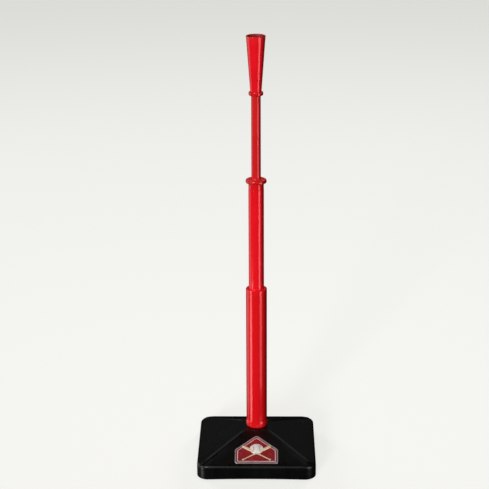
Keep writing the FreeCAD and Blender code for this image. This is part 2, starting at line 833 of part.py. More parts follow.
def make_ball_cone():
    """The flared rubber cone: a socket over the tube, a ledge that stops it, and a funnel up to the lip."""
    foot, mouth = size("cone_foot_radius"), size("cone_mouth_radius")
    ledge_top = cap_top + size("cone_ledge")
    lip = mouth - size("cone_lip")
    turned(
        "ball_cone",
        [
            (size("upper_tube_radius"), upper_collar_top), (foot, upper_collar_top), (mouth, cone_top),
            (lip, cone_top), (size("cone_throat_radius"), ledge_top),
            (size("cone_ledge_radius"), ledge_top), (size("cone_ledge_radius"), cap_top),
            (size("upper_tube_radius"), cap_top),
        ],
        fillets=[(size("cone_lip_rounding"), [(mouth, cone_top), (lip, cone_top)])],
    )


def make_stem():
    """The three tubes with their guides, collars, pistons and O-rings, and the cone on top."""
    make_lower_tube()
    make_guide(
        "lower_guide", size("lower_tube_radius"), size("middle_tube_radius") + size("slide_clearance"),
        lower_bore, lower_guide_bottom, lower_tube_top, lower_guide_top,
        size("lower_guide_chamfer"), size("lower_guide_chamfer"),
    )
    make_tube("middle_tube", size("middle_tube_radius"), middle_bore, middle_tube_bottom, middle_tube_top)
    make_middle_collar()
    middle = (size("middle_piston_bottom"), size("middle_piston_head"), size("middle_ring_section"))
    make_piston("middle_piston", lower_bore, middle_bore, size("middle_piston_bore"), *middle)
    make_rings("middle", lower_bore, *middle)
    make_tube("upper_tube", size("upper_tube_radius"), upper_bore, upper_tube_bottom, upper_tube_top)
    make_upper_collar()
    make_upper_tube_cap()
    upper = (size("upper_piston_bottom"), size("upper_piston_head"), size("upper_ring_section"))
    make_piston("upper_piston", middle_bore, upper_bore, size("upper_piston_bore"), *upper)
    make_rings("upper", middle_bore, *upper)
    make_ball_cone()


# ---------------------------------------------------------------- build, check and write


def check_document():
    """Stops on a failed feature, or a sub-part that is empty, broken or open."""
    doc.recompute()
    for thing in doc.Objects:
        if any(word in thing.State for word in ("Invalid", "Error")):
            raise RuntimeError(f"{thing.Name} failed: {thing.State}")
    for part in parts:
        if part.Shape.isNull() or not part.Shape.isValid() or not part.Shape.Solids:
            raise RuntimeError(f"{part.Label} has no valid solid")


def write_parts():
    """Writes each sub-part to parts/LABEL.step."""
    os.makedirs("parts", exist_ok=True)
    for part in parts:
        part.Shape.exportStep(f"parts/{part.Label}.step")
        print(f"{part.Label}: {len(part.Shape.Solids)} solid(s), {part.Shape.Volume / 1000:.1f} cm3")


make_base_shell()
make_base_cover()
make_ballast_plate()
make_feet()
make_fasteners()
make_badge()
make_stem()
check_document()
write_parts()
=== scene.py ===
"""Looks of the batting tee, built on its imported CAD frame.

The pieces that show are remade here as finer meshes in place of their CAD nodes: the turned parts
of the stem, the base shell with its ribs, and the badge. The feet, the cover, the fasteners and the
nodes inside keep their CAD shape and get a better material. Lengths in the shape code are in
millimetres and are turned into metres when a mesh is built. Lengths on the stage and scales in the
materials are in metres.
"""

import math

import bmesh
import bpy
import numpy as np
from mathutils import Matrix, Vector


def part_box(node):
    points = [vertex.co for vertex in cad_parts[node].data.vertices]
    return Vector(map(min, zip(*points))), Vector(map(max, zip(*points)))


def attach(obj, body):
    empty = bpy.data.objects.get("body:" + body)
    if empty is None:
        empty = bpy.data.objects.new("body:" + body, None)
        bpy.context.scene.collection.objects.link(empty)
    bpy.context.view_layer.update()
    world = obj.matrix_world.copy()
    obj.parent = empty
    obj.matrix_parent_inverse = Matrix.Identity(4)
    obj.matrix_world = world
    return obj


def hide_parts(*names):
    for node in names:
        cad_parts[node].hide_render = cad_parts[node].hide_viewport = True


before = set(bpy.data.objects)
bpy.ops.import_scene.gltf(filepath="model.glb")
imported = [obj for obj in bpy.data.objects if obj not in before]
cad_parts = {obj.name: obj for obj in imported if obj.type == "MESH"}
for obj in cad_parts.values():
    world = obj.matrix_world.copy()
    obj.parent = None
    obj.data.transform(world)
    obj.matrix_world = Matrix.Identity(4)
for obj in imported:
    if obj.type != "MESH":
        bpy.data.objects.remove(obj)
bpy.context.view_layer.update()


MM = 0.001
TAU = 2 * math.pi


def level(node, end):
    """The lowest (end 0) or highest (end 1) level of a CAD node, in mm."""
    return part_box(node)[end].z / MM


def half_width(node):
    """Half the width of a CAD node along X, in mm."""
    low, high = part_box(node)
    return (high.x - low.x) / 2 / MM


# ---------------------------------------------------------------- mesh helpers


def new_piece(
    name, body, vertices, faces, materials, replaces=(), normals=None, face_slots=None,
):
    """A mesh object in the row frame that rides on a body, from vertices in mm."""
    mesh = bpy.data.meshes.new(name)
    points = [tuple(float(value) * MM for value in vertex) for vertex in vertices]
    mesh.from_pydata(points, [], [tuple(int(i) for i in face) for face in faces])
    mesh.validate()
    mesh.polygons.foreach_set("use_smooth", [True] * len(mesh.polygons))
    for material in materials:
        mesh.materials.append(material)
    if face_slots is not None:
        mesh.polygons.foreach_set("material_index", face_slots)
    if normals is not None:
        mesh.normals_split_custom_set_from_vertices([tuple(n) for n in normals])
    piece = bpy.data.objects.new(name, mesh)
    bpy.context.scene.collection.objects.link(piece)
    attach(piece, body)
    if replaces:
        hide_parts(*replaces)
    return piece


def rounded_outline(corners, step):
    """A closed outline with its corners rounded in steps of so many degrees: corners are (x, y,
    radius), and each point that comes back is (x, y, nx, ny), its normal pointing out of an
    anticlockwise outline."""
    points = []
    count = len(corners)
    for i in range(count):
        before, here, after = (np.array(corners[(i + k) % count][:2], float) for k in (-1, 0, 1))
        wanted = corners[i][2]
        into, out = here - before, after - here
        room = 0.49 * min(np.linalg.norm(into), np.linalg.norm(out))
        into, out = into / np.linalg.norm(into), out / np.linalg.norm(out)
        turn = math.atan2(into[0] * out[1] - into[1] * out[0], float(into @ out))
        if abs(turn) < 1e-4:
            points.append((*here, into[1], -into[0]))
            continue
        reach = min(wanted * math.tan(abs(turn) / 2), room)
        rounding = reach / math.tan(abs(turn) / 2)
        side = 1.0 if turn > 0 else -1.0
        centre = here - into * reach + side * rounding * np.array([-into[1], into[0]])
        steps = max(2, math.ceil(math.degrees(abs(turn)) / step))
        start = np.array([into[1], -into[0]])
        for k in range(steps + 1):
            angle = turn * k / steps
            c, s = math.cos(angle), math.sin(angle)
            normal = np.array([c * start[0] - s * start[1], s * start[0] + c * start[1]])
            point = centre + side * rounding * normal
            points.append((*point, *normal))
    return points


def signed_area(corners):
    """Twice the area of an outline, positive where it runs anticlockwise."""
    return sum(a[0] * b[1] - b[0] * a[1] for a, b in zip(corners, corners[1:] + corners[:1]))


SEGMENTS = 112
SECTION_STEP = 10.0


def lathe(name, body, corners, materials, replaces, split=None):
    """A turned piece: corners are (radius, level, rounding) of its closed section. split gives a
    material slot for a run of the section from its middle radius and level."""
    if signed_area(corners) < 0:
        corners = corners[::-1]
    section = rounded_outline(corners, SECTION_STEP)
    count = len(section)
    vertices, normals = [], []
    for r, z, nr, nz in section:
        for k in range(SEGMENTS):
            c, s = math.cos(TAU * k / SEGMENTS), math.sin(TAU * k / SEGMENTS)
            vertices.append((r * c, r * s, z))
            normals.append((nr * c, nr * s, nz))
    faces, face_slots = [], []
    for i in range(count):
        j = (i + 1) % count
        chosen = 0
        if split is not None:
            chosen = split((section[i][0] + section[j][0]) / 2, (section[i][1] + section[j][1]) / 2)
        a, b = i * SEGMENTS, j * SEGMENTS
        for k in range(SEGMENTS):
            m = (k + 1) % SEGMENTS
            faces.append((a + k, a + m, b + m, b + k))
            face_slots.append(chosen)
    return new_piece(name, body, vertices, faces, materials, replaces, normals, face_slots)


# ---------------------------------------------------------------- material helpers


class Nodes:
    """A short way to write a material's node tree."""

    def __init__(self, name):
        self.material = bpy.data.materials.new(name)
        self.material.use_nodes = True
        self.tree = self.material.node_tree
        self.shader = self.tree.nodes["Principled BSDF"]
        self.place = self.tree.nodes.new("ShaderNodeTexCoord").outputs["Object"]

    def add(self, kind, settings=(), **inputs):
        """A node with its settings, and its inputs set or linked by name, or by place as _0, _1."""
        node = self.tree.nodes.new(kind)
        for key, value in dict(settings).items():
            setattr(node, key, value)
        for key, value in inputs.items():
            socket = node.inputs[int(key[1:])] if key[0] == "_" else node.inputs[key]
            self.set(socket, value)
        return node

    def set(self, socket, value):
        """Links value to socket where it is a socket itself, or stores it there."""
        if isinstance(value, bpy.types.NodeSocket):
            self.tree.links.new(value, socket)
        elif hasattr(value, "__len__") and len(value) == 3 and socket.type == "RGBA":
            socket.default_value = (*value, 1.0)
        else:
            socket.default_value = value

    def math(self, operation, a, b=0.0):
        """The sum, product or other operation on two sockets or numbers."""
        return self.add("ShaderNodeMath", {"operation": operation}, _0=a, _1=b).outputs[0]

    def scaled(self, x, y, z):
        """The object's coordinates, in metres, multiplied along each axis."""
        settings = {"operation": "MULTIPLY"}
        return self.add("ShaderNodeVectorMath", settings, _0=self.place, _1=(x, y, z)).outputs[0]

    def noise(self, scale, detail=2.0, roughness=0.5, source=None, distortion=0.0):
        """Noise from 0 to 1, scale cells to the metre."""
        node = self.add(
            "ShaderNodeTexNoise", {}, Vector=source or self.place, Scale=scale, Detail=detail,
            Roughness=roughness, Distortion=distortion,
        )
        return node.outputs["Fac"]

    def remap(self, value, low, high, to_low, to_high):
        """A smooth step from to_low, where value is low, up to to_high, where it is high."""
        node = self.add("ShaderNodeMapRange", {"interpolation_type": "SMOOTHSTEP"})
        for i, v in enumerate((value, low, high, to_low, to_high)):
            self.set(node.inputs[i], v)
        return node.outputs[0]

    def mix(self, factor, a, b):
        """Colour a where factor is 0, b where it is 1."""
        node = self.tree.nodes.new("ShaderNodeMix")
        node.data_type = "RGBA"
        for i, v in ((0, factor), (6, a), (7, b)):
            self.set(node.inputs[i], v)
        return node.outputs[2]

    def cells(self, scale, output):
        """Voronoi cells, scale to the metre: their Distance or Color."""
        node = self.add("ShaderNodeTexVoronoi", {"feature": "F1"}, Vector=self.place, Scale=scale)
        return node.outputs[output]

    def bump(self, height, distance, strength=1.0, normal=None):
        """A normal raised by height times distance, in metres, on top of an earlier one."""
        node = self.add("ShaderNodeBump", {}, Height=height, Distance=distance, Strength=strength)
        if normal is not None:
            self.set(node.inputs["Normal"], normal)
        return node.outputs["Normal"]

    def around(self):
        """Coordinates wrapped round Z: the angle in turns, the radius and the height in metres."""
        x, y, z = self.add("ShaderNodeSeparateXYZ", {}, _0=self.place).outputs
        turns = self.math("DIVIDE", self.math("ARCTAN2", y, x), TAU)
        squares = self.math("ADD", self.math("MULTIPLY", x, x), self.math("MULTIPLY", y, y))
        return turns, self.math("SQRT", squares), z

    def finish(self, color, roughness, normal=None, **fixed):
        """Sets the shader: colour, roughness and normal may be linked, the rest are numbers."""
        self.set(self.shader.inputs["Base Color"], color)
        self.set(self.shader.inputs["Roughness"], roughness)
        if normal is not None:
            self.set(self.shader.inputs["Normal"], normal)
        for key, value in fixed.items():
            self.shader.inputs[key.replace("_", " ")].default_value = value
        return self.material


def streaks(n, turns, z, across, along, detail=3.0):
    """Noise drawn out along Z on a tube, across cells to the turn and along cells to the metre."""
    angle = n.math("MULTIPLY", turns, TAU)
    x = n.math("MULTIPLY", n.math("COSINE", angle), across / TAU)
    y = n.math("MULTIPLY", n.math("SINE", angle), across / TAU)
    joined = n.add("ShaderNodeCombineXYZ", {}, _0=x, _1=y, _2=n.math("MULTIPLY", z, along))
    return n.noise(1.0, detail, 0.6, joined.outputs[0])


def shade(color, factor):
    """A colour made darker or lighter by a factor."""
    return tuple(factor * v for v in color)


RED_TINT = (1.0, 0.2, 0.2, 1.0)
MICRON = 0.000001


def red_plastic(name, light, deep, gloss, rub=0.04):
    """Glossy red plastic: cloudy pigment, extrusion lines along the tube, fine peel, hairlines."""
    n = Nodes(name)
    turns, _, z = n.around()
    cloud = n.noise(9.0, 4.0, 0.55)
    fleck = n.noise(900.0, 2.0, 0.6)
    lines = streaks(n, turns, z, 260.0, 2.0)
    hair = streaks(n, turns, z, 900.0, 14.0, 1.0)
    tone = n.math("ADD", n.math("MULTIPLY", cloud, 0.75), n.math("MULTIPLY", lines, 0.25))
    color = n.mix(n.remap(tone, 0.34, 0.66, 0.0, 1.0), deep, light)
    color = n.mix(n.remap(fleck, 0.62, 0.8, 0.0, 0.10), color, shade(deep, 0.75))
    worn = n.remap(hair, 0.64, 0.80, 0.0, rub)
    color = n.mix(worn, color, (0.86, 0.20, 0.19))
    rough = n.remap(lines, 0.3, 0.7, gloss, gloss + 0.07)
    rough = n.math("ADD", rough, n.math("MULTIPLY", worn, 0.5))
    rough = n.math("ADD", rough, n.remap(cloud, 0.35, 0.65, -0.02, 0.03))
    normal = n.bump(n.noise(420.0, 2.0), 4 * MICRON)
    normal = n.bump(lines, 4 * MICRON, 0.6, normal)
    return n.finish(
        color, rough, normal, Coat_Weight=0.3, Coat_Roughness=0.05, Specular_IOR_Level=1.0,
        Specular_Tint=RED_TINT,
    )


BLOOM_LEVELS = (1.085, 1.114)


def cone_rubber(name, light, deep, gloss, coat):
    """Smooth red rubber: softer gloss, faint moulding rings and a dusty bloom towards the lip."""
    n = Nodes(name)
    z = n.around()[2]
    cloud = n.noise(14.0, 4.0, 0.6)
    fine = n.noise(700.0, 3.0, 0.6)
    rings = n.noise(1.0, 2.0, 0.5, n.scaled(6.0, 6.0, 420.0))
    color = n.mix(n.remap(cloud, 0.33, 0.67, 0.0, 1.0), deep, light)
    dust = n.remap(fine, 0.45, 0.75, 0.0, 0.10)
    bloom = n.math("MULTIPLY", n.remap(z, *BLOOM_LEVELS, 0.0, 1.0), dust)
    color = n.mix(bloom, color, (0.80, 0.30, 0.28))
    rough = n.remap(fine, 0.3, 0.7, gloss, gloss + 0.03)
    rough = n.math("ADD", rough, n.math("MULTIPLY", bloom, 0.6))
    normal = n.bump(fine, 2 * MICRON, 0.8)
    normal = n.bump(rings, 4 * MICRON, 0.5, normal)
    return n.finish(
        color, rough, normal, Coat_Weight=coat, Coat_Roughness=0.08, Specular_IOR_Level=1.0,
        Specular_Tint=RED_TINT,
    )


def black_plastic(name, tone, gloss, grain=6, specular=0.5):
    """Moulded black plastic: a fine spark-eroded grain in microns, flow marks, a trace of dust."""
    n = Nodes(name)
    cloud = n.noise(11.0, 5.0, 0.6)
    flow = n.noise(1.0, 3.0, 0.55, n.scaled(30.0, 30.0, 8.0), 0.6)
    cells = n.cells(1500.0, "Distance")
    speck = n.remap(n.noise(1900.0, 1.0, 0.5), 0.66, 0.80, 0.0, 1.0)
    dust = n.math("MULTIPLY", speck, n.remap(cloud, 0.45, 0.75, 0.0, 0.35))
    color = n.mix(n.remap(flow, 0.3, 0.7, 0.0, 1.0), shade(tone, 0.8), shade(tone, 1.25))
    color = n.mix(dust, color, (0.10, 0.098, 0.092))
    rough = n.remap(cloud, 0.3, 0.7, gloss, gloss + 0.08)
    rough = n.math("ADD", rough, n.math("MULTIPLY", dust, 0.3))
    rough = n.math("ADD", rough, n.remap(flow, 0.3, 0.7, -0.02, 0.03))
    normal = n.bump(cells, grain * MICRON, 0.7)
    normal = n.bump(flow, 40 * MICRON, 0.15, normal)
    return n.finish(color, rough, normal, Specular_IOR_Level=specular)


def rubber(name, tone, rough=0.62):
    """Dull black rubber with a fine pitted skin and a grey bloom."""
    n = Nodes(name)
    pits = n.noise(1200.0, 3.0, 0.6)
    bloom = n.noise(60.0, 4.0, 0.6)
    color = n.mix(n.remap(bloom, 0.35, 0.75, 0.0, 1.0), tone, tuple(2.2 * v + 0.01 for v in tone))
    normal = n.bump(pits, 120 * MICRON, 0.8)
    return n.finish(color, n.remap(bloom, 0.3, 0.7, rough - 0.06, rough + 0.08), normal)


def zinc_steel():
    """Bright zinc plate: blue-white, faintly mottled, with fine turned scratches."""
    n = Nodes("zinc_steel")
    value = n.add("ShaderNodeRGBToBW", {}, _0=n.cells(420.0, "Color")).outputs[0]
    fine = n.noise(2600.0, 2.0, 0.6, n.scaled(1.0, 1.0, 0.1))
    color = n.mix(n.remap(value, 0.0, 1.0, 0.0, 1.0), (0.50, 0.52, 0.55), (0.68, 0.70, 0.73))
    rough = n.remap(fine, 0.3, 0.7, 0.24, 0.40)
    return n.finish(color, rough, n.bump(fine, 20 * MICRON, 0.6), Metallic=1.0)


def primed_steel():
    """Black primer on a flame-cut steel plate, rubbed to grey in patches."""
    n = Nodes("primed_steel")
    scale = n.noise(35.0, 5.0, 0.65)
    fine = n.noise(800.0, 2.0)
    color = n.mix(n.remap(scale, 0.5, 0.8, 0.0, 1.0), (0.035, 0.036, 0.038), (0.13, 0.13, 0.135))
    normal = n.bump(n.math("ADD", scale, n.math("MULTIPLY", fine, 0.3)), 300 * MICRON, 0.6)
    return n.finish(color, n.remap(scale, 0.3, 0.8, 0.62, 0.42), normal)


def enamel(name, first, second, gloss, scale=160.0, metallic=0.0):
    """Printed or enamelled colour on the badge, with a slight mottle and a clear coat."""
    n = Nodes(name)
    mottle = n.noise(scale, 4.0, 0.6)
    fine = n.noise(1800.0, 2.0)
    color = n.mix(n.remap(mottle, 0.35, 0.65, 0.0, 1.0), first, second)
    rough = n.remap(fine, 0.3, 0.7, gloss, gloss + 0.08)
    return n.finish(
        color, rough, n.bump(fine, 20 * MICRON, 0.5), Metallic=metallic, Coat_Weight=0.3,
        Coat_Roughness=0.1,
    )


def bat_wood():
    """Pale turned wood with its grain along the bat."""
    n = Nodes("bat_wood")
    grain = n.noise(1.0, 4.0, 0.6, n.scaled(300.0, 900.0, 900.0), 0.8)
    color = n.mix(n.remap(grain, 0.35, 0.65, 0.0, 1.0), (0.72, 0.50, 0.28), (0.88, 0.72, 0.50))
    return n.finish(color, n.remap(grain, 0.3, 0.7, 0.30, 0.42), n.bump(grain, 30 * MICRON, 0.5))


def ball_leather():
    """White pebbled leather."""
    n = Nodes("ball_leather")
    pebble = n.cells(1100.0, "Distance")
    cloud = n.noise(90.0, 3.0)
    color = n.mix(n.remap(cloud, 0.35, 0.65, 0.0, 1.0), (0.80, 0.78, 0.74), (0.90, 0.89, 0.86))
    return n.finish(color, n.remap(pebble, 0.0, 0.6, 0.42, 0.55), n.bump(pebble, 80 * MICRON, 0.7))


tube_red = red_plastic("tube_red", (0.94, 0.0090, 0.018), (0.88, 0.0070, 0.014), 0.14)
lower_red = red_plastic("lower_red", (0.83, 0.0075, 0.012), (0.77, 0.0060, 0.010), 0.14)
upper_red = red_plastic("upper_red", (0.72, 0.016, 0.018), (0.64, 0.012, 0.014), 0.18, rub=0.06)
guide_red = red_plastic("guide_red", (0.87, 0.0085, 0.016), (0.80, 0.0070, 0.013), 0.15)
# the beads: the same red plastic made darker, painted shade for their dim ends
bead_red_painted_shade = red_plastic("bead_red_painted_shade", (0.64, 0.010, 0.013), (0.56, 0.008, 0.010), 0.17)
cone_red = cone_rubber("cone_red", (0.92, 0.0090, 0.018), (0.84, 0.0070, 0.014), 0.13, 0.25)
# the cone's inside and the top of its lip: the same red rubber painted much darker, as painted
# shade
cone_inside_painted_shade = cone_rubber("cone_inside_painted_shade", (0.25, 0.0090, 0.010), (0.20, 0.0070, 0.008), 0.42, 0.0)
shell_black = black_plastic("shell_black", (0.0026, 0.0031, 0.0028), 0.25, specular=0.3)
cover_black = black_plastic("cover_black", (0.012, 0.012, 0.013), 0.5, grain=60)
piston_black = black_plastic("piston_black", (0.014, 0.014, 0.015), 0.38)
foot_rubber = rubber("foot_rubber", (0.020, 0.020, 0.021))
ring_rubber = rubber("ring_rubber", (0.012, 0.012, 0.012), 0.34)
zinc = zinc_steel()
primer = primed_steel()
badge_silver = enamel("badge_silver", (0.42, 0.40, 0.40), (0.60, 0.58, 0.58), 0.26, metallic=0.6)
badge_red = enamel("badge_red", (0.24, 0.012, 0.018), (0.36, 0.020, 0.026), 0.22)
badge_white = enamel("badge_white", (0.72, 0.70, 0.69), (0.84, 0.82, 0.81), 0.28)
stitch_red = enamel("stitch_red", (0.45, 0.012, 0.015), (0.62, 0.02, 0.025), 0.4, 900.0)
wood = bat_wood()
leather = ball_leather()


# ---------------------------------------------------------------- stem

WALL, UPPER_WALL = 3.0, 2.4
FIT = 0.1
BEAD, BEAD_ROUNDING = 10.0, 4.6

# the lower tube's foot: the radius of its bolt hole, and levels above the foot
BOLT_HOLE = 5.25
TUBE_FLOOR = 8.0
FLANGE_TOP, FLARE_TOP, FLARE_BLEND = 13.0, 19.0, 190.0


def make_stem():
    """The turned pieces that show, each in place of its CAD node."""
    tube, guide = "lower_tube", "lower_guide"
    outer, foot, top = half_width(guide), level(tube, 0), level(tube, 1)
    flange = half_width(tube)
    lathe(
        "lower_tube_skin", "base",
        [
            (BOLT_HOLE, foot, 0.2), (flange, foot, 8.0), (flange, foot + FLANGE_TOP, 4.5),
            (outer, foot + FLARE_TOP, 12.0), (outer, foot + FLARE_BLEND, 0.0), (outer, top, 0.5),
            (outer - WALL, top, 0.2), (outer - WALL, foot + TUBE_FLOOR, 1.0),
            (BOLT_HOLE, foot + TUBE_FLOOR, 0.2),
        ],
        [lower_red], replaces=[tube],
    )

    inner = half_width("middle_tube") + FIT
    low, high = level(guide, 0), level(guide, 1)
    lathe(
        "lower_guide_skin", "base",
        [
            (inner, low, 0.3), (outer - WALL, low, 0.5), (outer - WALL, top, 0.1),
            (outer, top, 0.5), (outer, high, 1.6), (inner + 1.1, high, 0.4),
            (inner, high - 1.3, 0.4),
        ],
        [guide_red], replaces=[guide],
    )

    outer = half_width("middle_tube")
    low, high = level("middle_tube", 0), level("middle_tube", 1)
    lathe(
        "middle_tube_skin", "middle_section",
        [
            (outer - WALL, low, 0.2), (outer, low, 0.3), (outer, high, 0.5),
            (outer - WALL, high, 0.2),
        ],
        [tube_red], replaces=["middle_tube"],
    )

    bead, neck, bore = half_width("middle_collar"), outer - 0.2, half_width("upper_tube") + FIT
    spigot, ring_top = level("middle_collar", 0), level("middle_collar", 1)
    ring_low = ring_top - BEAD

    # the bead's faces take the darker painted-shade copy of the red
    def on_bead(r, z):
        return 1 if z > ring_low and r > neck + 0.5 else 0

    lathe(
        "middle_collar_skin", "middle_section",
        [
            (bore, spigot, 0.2), (outer - WALL, spigot, 0.4), (outer - WALL, high, 0.1),
            (neck, high, 0.4), (neck, ring_low, 1.6), (bead, ring_low, BEAD_ROUNDING),
            (bead, ring_top, BEAD_ROUNDING), (bore + 1.2, ring_top, 0.5),
            (bore, ring_top - 1.2, 0.4),
        ],
        [guide_red, bead_red_painted_shade], replaces=["middle_collar"], split=on_bead,
    )

    outer = half_width("upper_tube")
    low, high = level("upper_tube", 0), level("upper_tube", 1)
    lathe(
        "upper_tube_skin", "upper_section",
        [
            (outer - UPPER_WALL, low, 0.2), (outer, low, 0.3), (outer, high, 0.4),
            (outer - UPPER_WALL, high, 0.2),
        ],
        [upper_red], replaces=["upper_tube"],
    )

    bead = half_width("upper_collar")
    low, high = level("upper_collar", 0), level("upper_collar", 1)
    # the upper bead takes the darker painted-shade copy of the red too
    lathe(
        "upper_collar_skin", "upper_section",
        [
            (outer, low, 0.3), (bead, low, BEAD_ROUNDING), (bead, high, BEAD_ROUNDING),
            (outer, high, 0.3),
        ],
        [bead_red_painted_shade], replaces=["upper_collar"],
    )

    make_cone(outer)


# radii, with the waist's level above the foot, the lip's depth below the mouth, and the funnel
# floor's thickness
CONE_FOOT, CONE_WAIST, WAIST_LEVEL = 13.7, 14.5, 9.0
LIP_DEPTH, LIP_ROUNDING = 4.0, 1.2
FUNNEL_FOOT, FUNNEL_HOLE, FUNNEL_FLOOR = 14.0, 9.0, 4.0


def make_cone(bore):
    """The ball cone: straight flared wall, a lip rolled over at the mouth, the funnel inside."""
    low, top = level("ball_cone", 0), level("ball_cone", 1)
    mouth, ledge = half_width("ball_cone"), level("upper_tube_cap", 1)

    # faces inside the cone and on top of its lip take the darker copy of the rubber, painted shade
    def inside(r, z):
        height = top - low - WAIST_LEVEL - LIP_DEPTH
        outer = CONE_WAIST + (mouth - CONE_WAIST) * (z - low - WAIST_LEVEL) / height
        return 1 if z > ledge and (r < outer - 1.0 or z > top - 0.9) else 0

    lathe(
        "ball_cone_skin", "upper_section",
        [
            (bore, low, 0.2), (CONE_FOOT, low, 0.5), (CONE_WAIST, low + WAIST_LEVEL, 20.0),
            (mouth - 0.4, top - LIP_DEPTH, 8.0), (mouth, top - 2.2, LIP_ROUNDING),
            (mouth, top, LIP_ROUNDING), (mouth - 2.6, top, LIP_ROUNDING),
            (mouth - 3.2, top - LIP_DEPTH, 3.0), (FUNNEL_FOOT, ledge + FUNNEL_FLOOR, 1.5),
            (FUNNEL_HOLE, ledge + FUNNEL_FLOOR, 0.6), (FUNNEL_HOLE, ledge, 0.3), (bore, ledge, 0.3),
        ],
        [cone_red, cone_inside_painted_shade], replaces=["ball_cone"], split=inside,
    )


# ---------------------------------------------------------------- base shell

# half a side and the corner radius, at the skirt and at the hub, and the levels between them
HALF, CORNER = round(half_width("base_shell"), 1), 30.0
HUB_HALF, HUB_CORNER = 33.0, 6.0
SHOULDER, HUB_TOP, UNDER_TOP = 36.5, round(level("lower_tube", 0), 1), 76.5
SLOPE = (HUB_TOP - SHOULDER) / (HALF - HUB_HALF)
SHELL = 6.0
BORE = 9.0

# the rounding between facet and skirt, and the one round the skirt's foot
RIM, LIP = 9.0, 1.2
# where a rib starts and ends along X and along Y, and its section
RIB_INNER, RIB_OUTER, RIB_HALF_WIDTH, RIB_RISE = 36.5, 134.0, 7.4, 2.1
# the arch of the skirt's foot, and how far the foot stands off the floor at the corners
ARCH_REACH, ARCH_RISE, SKIRT_GAP = 125.0, 1.7, round(level("base_shell", 0), 1)

FACET_RINGS, RIM_RINGS, LIP_RINGS = 21, 9, 5
# distances along a side from its diagonal, close together over a rib, then FAR_STEPS equal steps
NEAR = [0.0, 0.8, 1.6, 2.4, 3.2, 4.1, 5.1, 6.2, 7.6, 9.5, 12.0, 15.0, 19.0, 24.0]
FAR_STEPS = 9
# the shortest side that takes those distances unshrunk, from its middle to the diagonal
WHOLE_SIDE = HUB_HALF - HUB_CORNER + HUB_CORNER * math.pi / 4


def ring(half, corner):
    """Points round a rounded square, closer together near its diagonals, as many for any size."""
    side = half - corner + corner * math.pi / 4
    shrink = min(1.0, side / WHOLE_SIDE)
    near = [w * shrink for w in NEAR]
    last = near[-1]
    gaps = near + [last + (side - last) * k / FAR_STEPS for k in range(1, FAR_STEPS + 1)]
    distances = [side - w for w in gaps]
    places = [-t for t in distances] + distances[-2::-1]
    flat = half - corner
    points = []
    for c, s in ((1, 0), (0, 1), (-1, 0), (0, -1)):
        for t in places[:-1]:
            if abs(t) <= flat:
                x, y = t, -half
            else:
                angle = (abs(t) - flat) / corner
                x = math.copysign(flat + corner * math.sin(angle), t)
                y = -half + corner * (1 - math.cos(angle))
            points.append((c * x - s * y, s * x + c * y))
    return points


def rib_rise(x, y):
    """How far the rib up the nearest diagonal stands above the facet at x, y."""
    x, y = abs(x), abs(y)
    along, across = (x + y) / 2, abs(x - y) / math.sqrt(2)
    past = max(RIB_INNER - along, along - RIB_OUTER, 0.0) * math.sqrt(2)
    away = math.hypot(across, past) / RIB_HALF_WIDTH
    return RIB_RISE * (1 - away ** 8) ** 2 if away < 1 else 0.0


def skirt_foot(x, y):
    """The level of the skirt's lower edge, a shallow arch along each side."""
    t = min(abs(x), abs(y)) / ARCH_REACH
    return SKIRT_GAP + (ARCH_RISE * (1 - t * t) if t < 1 else 0.0)


def corner_at(inset):
    """The corner radius of the shell's outline, drawn in by inset."""
    return CORNER - (CORNER - HUB_CORNER) * inset / (HALF - HUB_HALF)


def shell_rings():
    """The rings of the shell, each a list of points: from the hole under the stem out over the
    facets and down to the skirt's foot, and back up the inside."""
    rings = []

    def add(half, corner, base, relief=None):
        """A ring at a level, raised from it by relief where there is one."""
        rings.append(
            [(x, y, base + (relief(x, y) if relief else 0.0)) for x, y in ring(half, corner)]
        )

    for r in (BORE, 20.0, 28.0):
        add(r, r, HUB_TOP)
    add(HUB_HALF - 1.5, HUB_CORNER, HUB_TOP)
    add(HUB_HALF - 0.6, HUB_CORNER, HUB_TOP - 0.08)
    for k in range(1, FACET_RINGS + 1):
        share = k / FACET_RINGS
        inset = (HALF - HUB_HALF) * (1 - share) + 5.7 * share
        add(HALF - inset, corner_at(inset), SHOULDER + inset * SLOPE, rib_rise)
    bend = math.radians(90) - math.atan(SLOPE)
    start = SHOULDER - RIM * math.tan(bend / 2)
    for k in range(RIM_RINGS, -1, -1):
        angle = bend * k / (RIM_RINGS + 0.5)
        inset = RIM * (1 - math.cos(angle))
        add(HALF - inset, corner_at(inset), start + RIM * math.sin(angle))
    for height in (start - 1.5, 18.0, 9.0, 5.0):
        add(HALF, CORNER, height)
    add(HALF, CORNER, 1.6, skirt_foot)
    for k in range(1, LIP_RINGS + 1):
        angle = math.radians(90) * k / LIP_RINGS
        inset = LIP * (1 - math.cos(angle))
        add(HALF - inset, CORNER - inset, LIP - LIP * math.sin(angle), skirt_foot)
    for out, base in ((0.8, 0.0), (0.2, 0.3), (0.0, 0.9)):
        add(HALF - SHELL + out, CORNER - SHELL + out, base, skirt_foot)
    for height in (8.0, 30.9):
        add(HALF - SHELL, CORNER - SHELL, height)
    add(HUB_HALF, HUB_CORNER, UNDER_TOP)
    add(BORE, BORE, UNDER_TOP)
    return rings


def stud(x, y, r, low, high):
    """A plain upright round stud, as vertices and faces."""
    sides = 28
    vertices, faces = [], []
    for z in (low, high):
        for k in range(sides):
            angle = TAU * k / sides
            vertices.append((x + r * math.cos(angle), y + r * math.sin(angle), z))
    for k in range(sides):
        m = (k + 1) % sides
        faces.append((k, m, sides + m, sides + k))
    faces.append(tuple(range(sides))[::-1])
    faces.append(tuple(range(sides, 2 * sides)))
    return vertices, faces


# the inner column as x, y, radius, low, high, then the bosses: how far out, and radius, low, high
COLUMN = (0.0, 0.0, 28.0, 24.0, 77.0)
CORNER_BOSS, CORNER_STUD = 122.0, (6.0, 7.0, 43.0)
SIDE_BOSS, SIDE_STUD = 124.0, (6.0, 7.0, 42.0)


